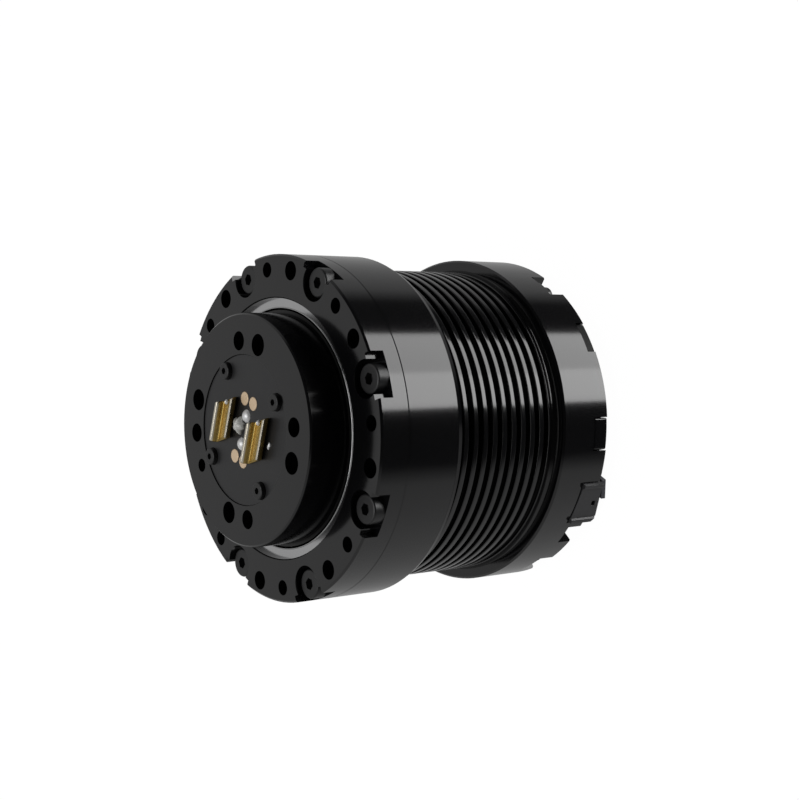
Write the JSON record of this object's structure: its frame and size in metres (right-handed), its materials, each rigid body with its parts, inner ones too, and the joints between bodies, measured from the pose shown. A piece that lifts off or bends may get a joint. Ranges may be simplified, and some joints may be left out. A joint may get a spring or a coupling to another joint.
{
  "type": "robot joint actuator",
  "caption": "Round hollow-shaft joint actuator: ribbed motor barrel, two-stage planetary gearbox and a bolted output flange with a small terminal board.",
  "frame": {"origin": "centre of the flat rear cap, on the output axis", "axes": "+Z along the output axis, out of the output flange; +X through a front cover screw"},
  "size_m": [0.064, 0.064, 0.0663],
  "materials": {
    "case_black": "satin black anodised",
    "flange_black": "satin black anodised",
    "screw_black": "black oxide",
    "bearing_steel": "ground",
    "gear_steel": "machined",
    "plain_aluminium": "machined",
    "stator_iron": "laminated",
    "copper_wire": "enamelled copper",
    "magnet_nickel": "nickel plated",
    "board_black": "solder mask",
    "board_green": "solder mask",
    "gold_plate": "gold plated",
    "pad_tan": "bare copper, lightly tinned",
    "solder": "solder",
    "tube_steel": "drawn",
    "lead_insulation": "silicone",
    "connector_plastic": "moulded",
    "chip_plastic": "moulded"
  },
  "bodies": {
    "housing": {"barrel_screws": "screw_black", "board_capacitors": "chip_plastic", "board_standoffs": "plain_aluminium", "control_chip": "chip_plastic", "driver_board": "board_green", "driver_board_screws": "screw_black", "encoder_sensor": "chip_plastic", "front_cover": "case_black", "front_cover_screws": "screw_black", "gear_housing": "case_black", "io_connector": "connector_plastic", "io_contacts": "gold_plate", "mid_plate": "plain_aluminium", "motor_housing": "case_black", "output_bearing_outer_ring": "bearing_steel", "power_transistors": "chip_plastic", "rear_bearing_plate": "plain_aluminium", "rear_cover": "case_black", "rear_cover_screws": "screw_black", "retaining_ring": "screw_black", "ring_gear": "gear_steel", "ring_gear_pins": "gear_steel", "rotor_bearing_outer_rings": "bearing_steel", "stator_coils": "copper_wire", "stator_core": "stator_iron"},
    "output": {"output_flange": "flange_black", "output_carrier_plate": "gear_steel", "stage2_pins": "gear_steel", "carrier_screws": "screw_black", "output_bearing_inner_ring": "bearing_steel", "terminal_board": "board_black", "terminal_board_screws": "screw_black", "terminals": "gold_plate", "contact_pads": "pad_tan", "solder_joints": "solder", "wire_tube": "tube_steel", "pass_through_leads": "lead_insulation"},
    "first_carrier": {"stage1_carrier": "gear_steel", "stage1_pins": "gear_steel"},
    "rotor": {"rotor_shaft": "gear_steel", "rotor_core": "gear_steel", "rotor_magnets": "magnet_nickel", "encoder_magnet": "magnet_nickel", "rotor_bearing_inner_rings": "bearing_steel"},
    "output_bearing_roller_set": {"output_bearing_rollers": "bearing_steel"},
    "rotor_bearing_ball_set": {"rotor_bearing_balls": "bearing_steel"},
    "first_stage_planet_1": {"stage1_planet_1": "gear_steel"},
    "first_stage_planet_2": {"stage1_planet_2": "gear_steel"},
    "first_stage_planet_3": {"stage1_planet_3": "gear_steel"},
    "second_stage_planet_1": {"stage2_planet_1": "gear_steel"},
    "second_stage_planet_2": {"stage2_planet_2": "gear_steel"},
    "second_stage_planet_3": {"stage2_planet_3": "gear_steel"}
  },
  "joints": [
    {"name": "rotor_spin", "type": "hinge", "parent": "housing", "child": "rotor", "pos_m": [0, 0, 0.02], "axis": [0, 0, 1], "continuous": true},
    {"name": "output_spin", "type": "hinge", "parent": "housing", "child": "output", "pos_m": [0, 0, 0.0506], "axis": [0, 0, 1], "continuous": true},
    {"name": "first_carrier_spin", "type": "hinge", "parent": "housing", "child": "first_carrier", "pos_m": [0, 0, 0.0423], "axis": [0, 0, 1], "continuous": true},
    {"name": "roller_set_spin", "type": "hinge", "parent": "housing", "child": "output_bearing_roller_set", "pos_m": [0, 0, 0.0536], "axis": [0, 0, 1], "continuous": true},
    {"name": "ball_set_spin", "type": "hinge", "parent": "housing", "child": "rotor_bearing_ball_set", "pos_m": [0, 0, 0.02], "axis": [0, 0, 1], "continuous": true},
    {"name": "first_stage_planet_1_spin", "type": "hinge", "parent": "first_carrier", "child": "first_stage_planet_1", "pos_m": [0.01269, 0.00462, 0.0379], "axis": [0, 0, 1], "continuous": true},
    {"name": "first_stage_planet_2_spin", "type": "hinge", "parent": "first_carrier", "child": "first_stage_planet_2", "pos_m": [-0.01034, 0.00868, 0.0379], "axis": [0, 0, 1], "continuous": true},
    {"name": "first_stage_planet_3_spin", "type": "hinge", "parent": "first_carrier", "child": "first_stage_planet_3", "pos_m": [-0.00234, -0.01329, 0.0379], "axis": [0, 0, 1], "continuous": true},
    {"name": "second_stage_planet_1_spin", "type": "hinge", "parent": "output", "child": "second_stage_planet_1", "pos_m": [0.00983, 0.01172, 0.0459], "axis": [0, 0, 1], "continuous": true},
    {"name": "second_stage_planet_2_spin", "type": "hinge", "parent": "output", "child": "second_stage_planet_2", "pos_m": [-0.01507, 0.00266, 0.0459], "axis": [0, 0, 1], "continuous": true},
    {"name": "second_stage_planet_3_spin", "type": "hinge", "parent": "output", "child": "second_stage_planet_3", "pos_m": [0.00523, -0.01438, 0.0459], "axis": [0, 0, 1], "continuous": true}
  ],
  "couplings": [
    {"joint": "output_spin", "follows": "rotor_spin", "ratio": 0.058824},
    {"joint": "first_carrier_spin", "follows": "rotor_spin", "ratio": 0.2},
    {"joint": "roller_set_spin", "follows": "rotor_spin", "ratio": 0.028199},
    {"joint": "ball_set_spin", "follows": "rotor_spin", "ratio": 0.4},
    {"joint": "first_stage_planet_1_spin", "follows": "rotor_spin", "ratio": -0.53333},
    {"joint": "first_stage_planet_2_spin", "follows": "rotor_spin", "ratio": -0.53333},
    {"joint": "first_stage_planet_3_spin", "follows": "rotor_spin", "ratio": -0.53333},
    {"joint": "second_stage_planet_1_spin", "follows": "rotor_spin", "ratio": -0.20168},
    {"joint": "second_stage_planet_2_spin", "follows": "rotor_spin", "ratio": -0.20168},
    {"joint": "second_stage_planet_3_spin", "follows": "rotor_spin", "ratio": -0.20168}
  ]
}
